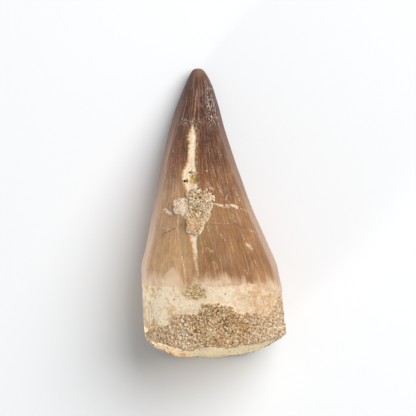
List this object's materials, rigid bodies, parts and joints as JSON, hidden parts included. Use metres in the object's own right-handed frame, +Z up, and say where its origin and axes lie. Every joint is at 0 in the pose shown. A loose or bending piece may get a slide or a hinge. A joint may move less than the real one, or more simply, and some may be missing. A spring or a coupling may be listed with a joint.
{
  "type": "fossil tooth",
  "caption": "Fossil mosasaur tooth lying on its side: a curved conical crown of dark enamel, cracked and repaired by crust, with a short root set in sandy matrix.",
  "frame": {"origin": "on the surface that the tooth lies on, under the middle of its bounding box", "axes": "+Y along the tooth towards its tip, +Z up through the face that is seen, +X to the right of it"},
  "size_m": [0.0247, 0.0502, 0.0208],
  "materials": {
    "fossil": "silky enamel on the crown, chalky root, rough sandy matrix"
  },
  "bodies": {
    "root": {"fossil_tooth": "fossil"}
  },
  "joints": []
}
